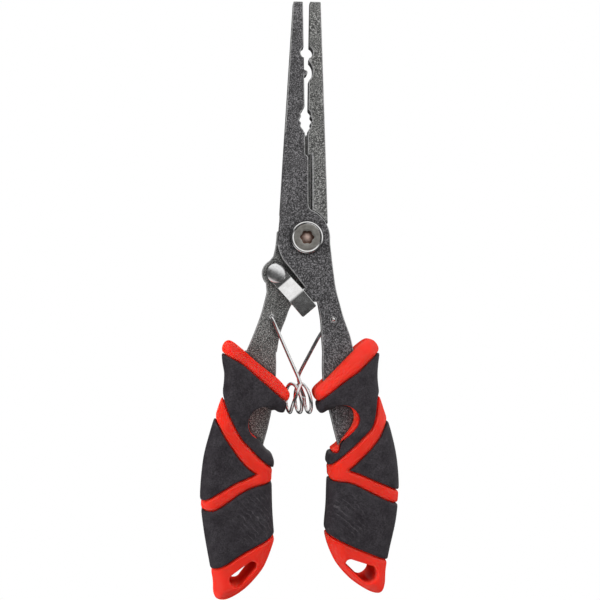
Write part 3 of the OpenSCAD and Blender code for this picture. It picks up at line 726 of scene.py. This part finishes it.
class Grip:
    """One grip, as distance fields on a grid that covers its CAD nodes."""

    pad_depth = 1.4
    edge_gap = 0.17
    fit = 0.05
    lip = 0.3

    def __init__(self, name, lever, shape, low, high):
        self.name, self.lever, self.shape = name, lever, shape
        self.side = 1 if name == "right" else -1
        margin = 4 * VOXEL
        self.origin = low - margin
        counts = np.ceil((high - low + 2 * margin) / VOXEL).astype(int)
        x, self.y, z = (self.origin[i] + VOXEL * np.arange(counts[i]) for i in range(3))
        self.u, self.z = np.meshgrid(self.side * (x - mirror_x), z, indexing="ij")
        self.tang = node_distance(lever, self.origin, tuple(counts))
        self.outline = self.closed(shape["outline"])
        recess = self.closed(shape["recess"])
        rim = self.closed(shape["rim"]) if shape["rim"] else recess + 0.5
        rise = np.clip((np.abs(self.y) - plate_t) / (grip_half_t - plate_t), 0, 1)
        slope = recess[:, None, :] + (rim - recess)[:, None, :] * rise[None, :, None]
        self.recess = slope + self.lip
        self.rim = rim[:, None, :]

    def closed(self, points):
        return outline_distance(curve_through(points, 6, True), self.u, self.z)

    def zones(self):
        """Signed distances from the areas that the three pads cover."""
        line = {k: curve_through(v, 5) for k, v in self.shape.items()
                if k.startswith(("collar", "upper", "lower", "cap"))}
        upper = np.vstack([line["collar_low"], line["upper_arm_top"][::-1]])
        middle = np.vstack([line["upper_arm_low"], line["lower_arm_top"]])
        lower = np.vstack([line["lower_arm_low"], line["cap_edge"]])
        closed = (np.vstack([a, [(FAR, a[-1][1]), (FAR, a[0][1])]]) for a in (upper, middle, lower))
        return [outline_distance(a, self.u, self.z)[:, None, :] for a in closed]

    def body(self):
        """The whole rounded body of the grip."""
        round_r = 5.0
        heights = [-126.5, -118, -106, -48, -40, -36]
        half_thicknesses = [6.1, 7.6, 8.45, 8.45, 7.8, 6.6]
        half = np.interp(self.z[0], heights, half_thicknesses)
        across = self.outline[:, None, :] + round_r
        through = np.abs(self.y)[None, :, None] - half + round_r
        outside = np.hypot(np.maximum(across, 0), np.maximum(through, 0))
        return np.minimum(np.maximum(across, through), 0) + outside - round_r

    def lanyard_slot(self):
        """The slot, which slants as it goes through."""
        across, up = self.shape["slot_lean"]
        depth = (self.y - self.y.min()) / np.ptp(self.y)
        layers = [slot_distance(self.u - across * d, self.z - up * d, self.shape["slot"])
                  for d in depth]
        return np.stack(layers, axis=1)

    def coil_room(self):
        """The room for the spring's coil, with enough beside it for the handles to close.

        The coil is askew: it reaches into the left grip behind its axis, and into the right
        one before it.
        """
        coil_r, room_r, ends, past_axis = 5.65, 5.8, (-8.2, 2.6), 1.5
        coil_z = spring_low[2] + coil_r
        x = mirror_x + self.side * self.u
        tube_room = np.hypot(self.y[None, :, None], self.z[:, None, :] - coil_z) - room_r
        tube_room = np.maximum(tube_room, (self.side * self.y - past_axis)[None, :, None])
        return np.maximum(tube_room, np.maximum(ends[0] - x, x - ends[1])[:, None, :])

    def tread(self):
        """Shallow curved ribs on both faces of the lower pad."""
        turn = math.radians(self.shape["tread_turn"])
        centre_u, centre_z, half_width, half_height, fade = 16.5, -98.2, 7.2, 9.5, 1.6
        u, z = self.u - centre_u, self.z - centre_z
        along = u * math.cos(turn) + z * math.sin(turn)
        over = z * math.cos(turn) - u * math.sin(turn)
        pitch, sweep, height = 1.9, 0.09, 0.4
        ribs = 0.5 + 0.5 * np.cos(2 * math.pi * (over + sweep * along**2 / 2) / pitch)
        patch = np.clip(fade * (1 - np.hypot(u / half_width, z / half_height)), 0, 1)
        return (height * (ribs * patch))[:, None, :]

    def piece(self, name, field, material, slot, node):
        """The surface where a field is zero, as a piece in place of a CAD node."""
        band = 3 * VOXEL
        grid = openvdb.FloatGrid(band)
        grid.copyFromArray(np.clip(field, -band, band).astype(np.float32))
        points, quads = grid.convertToQuads(0.0)
        obj = from_points(f"{self.name}_{name}", points * VOXEL + self.origin, quads.tolist(), material)
        return place(obj, self.lever, slot, f"{self.name}_{node}")

    def build(self):
        body = self.body()
        zones = self.zones()
        covered = np.maximum(np.minimum.reduce(zones), -self.rim)
        core = smooth_max(body + 0.1, self.edge_gap - covered, 1.1)
        core = np.minimum(core, body + self.pad_depth)
        core = smooth_max(core, -self.recess, 0.7)
        core = smooth_max(core, -self.lanyard_slot(), 0.9)
        room = self.fit - np.minimum(self.tang, self.coil_room() + self.fit)
        self.piece("core_shell", np.maximum(core, room), RED, "red_plastic", "grip_core")
        for part, zone in zip(("upper", "middle", "lower"), zones):
            face = body + self.tread() if part == "lower" else body
            pad = smooth_max(face, zone + self.edge_gap, 0.9)
            pad = np.maximum(pad, -(body + self.pad_depth - self.fit))
            pad = smooth_max(pad, -self.rim, 0.8)
            rubber = STROKED[self.name] if part == "lower" else BLACK
            self.piece(f"{part}_rubber", np.maximum(pad, room), rubber, "black_rubber", f"{part}_pad")


Grip("left", "rear_lever", LEFT, left_low, left_high).build()
Grip("right", "front_lever", RIGHT, right_low, right_high).build()


# ---- light and camera ------------------------------------------------------


def studio():
    """White to the camera, an even light on matte surfaces, and a sky for metal to mirror.

    The sky is bright overhead and to the right, dark to the left, and shows a lit floor.
    """
    bright_side = Vector((0.45, 0, 0.89))
    even_light = 0.37
    stops = [(0.0, 1.0), (0.09, 0.8), (0.14, 0.05), (0.52, 0.05), (0.57, 0.35), (0.64, 1.0), (1.0, 1.0)]
    world = bpy.data.worlds.new("studio")
    bpy.context.scene.world = world
    world.use_nodes = True
    tree = world.node_tree

    def add(kind, *links, **settings):
        node = tree.nodes.new("ShaderNode" + kind)
        for key, value in settings.items():
            setattr(node, key, value)
        for index, value in links:
            if isinstance(value, bpy.types.NodeSocket):
                tree.links.new(value, node.inputs[index])
            else:
                node.inputs[index].default_value = value
        return node

    towards = add("TexCoord").outputs["Generated"]
    facing = add("VectorMath", (0, towards), (1, bright_side), operation="DOT_PRODUCT")
    along = add("Math", (0, facing.outputs["Value"]), (1, 0.5), (2, 0.5), operation="MULTIPLY_ADD")
    ramp = add("ValToRGB", ("Fac", along.outputs[0]))
    while len(ramp.color_ramp.elements) < len(stops):
        ramp.color_ramp.elements.new(0.5)
    for element, (at, grey) in zip(ramp.color_ramp.elements, stops):
        element.position = at
        element.color = (grey, grey, grey, 1)
    ray = add("LightPath").outputs
    matte = (even_light, even_light, even_light, 1)
    seen = add("Mix", (0, ray["Is Glossy Ray"]), (6, matte), (7, ramp.outputs["Color"]),
               data_type="RGBA")
    shown = add("Mix", (0, ray["Is Camera Ray"]), (6, seen.outputs[2]), (7, (1, 1, 1, 1)),
                data_type="RGBA")
    tree.links.new(shown.outputs[2], tree.nodes["Background"].inputs["Color"])


def floor():
    """A plain white floor just under the tool. Only the camera sees it, so it takes no shadow."""
    half_side, drop = 2000, 1
    z = tool_low[2] - drop
    corners = [(x, y, z) for x, y in ((-1, -1), (1, -1), (1, 1), (-1, 1))]
    corners = [(x * half_side, y * half_side, z) for x, y, z in corners]
    m = Shader("floor_white")
    white = m.add("Emission", {"Color": (1, 1, 1), "Strength": 1.0}).outputs["Emission"]
    m.feed(m.tree.nodes["Material Output"].inputs["Surface"], white)
    sheet = from_points("floor", corners, [(0, 1, 2, 3)], m.material)
    sheet.visible_diffuse = False
    sheet.visible_glossy = False
    sheet.visible_transmission = False
    sheet.visible_shadow = False


def area_light(name, place_mm, power, width, height):
    """A soft box that faces the middle of the tool. Metal doesn't mirror it."""
    data = bpy.data.lights.new(name, "AREA")
    data.energy = power
    data.shape = "RECTANGLE"
    data.size, data.size_y = width * MM, height * MM
    obj = bpy.data.objects.new(name, data)
    bpy.context.scene.collection.objects.link(obj)
    obj.visible_glossy = False
    obj.location = Vector(place_mm) * MM
    middle = Vector(((tool_low + tool_high) / 2).tolist()) * MM
    obj.rotation_euler = (middle - obj.location).to_track_quat("-Z", "Y").to_euler()


def camera():
    """Level with the middle of the tool and turned a little to its left side."""
    distance, turn = 400.0, math.radians(4)
    sight = tool_high[2] - tool_low[2] + 2.1
    aim = Vector((mirror_x + 0.35, 0, (tool_low[2] + tool_high[2]) / 2))
    data = bpy.data.cameras.new("camera")
    data.sensor_width = 36
    data.lens = data.sensor_width * distance / sight
    obj = bpy.data.objects.new("camera", data)
    bpy.context.scene.collection.objects.link(obj)
    obj.location = (aim + Vector((-math.sin(turn), -math.cos(turn), 0)) * distance) * MM
    obj.rotation_euler = (math.radians(90), 0, -turn)
    bpy.context.scene.camera = obj


studio()
floor()
area_light("key", (330, -420, 460), 3.6, 220, 220)
area_light("left", (-600, -160, 0), 4.4, 300, 500)
area_light("low", (260, -500, -350), 1.2, 300, 300)
area_light("back", (0, 500, 450), 2.0, 600, 300)
camera()
bpy.context.scene.view_settings.view_transform = "Standard"
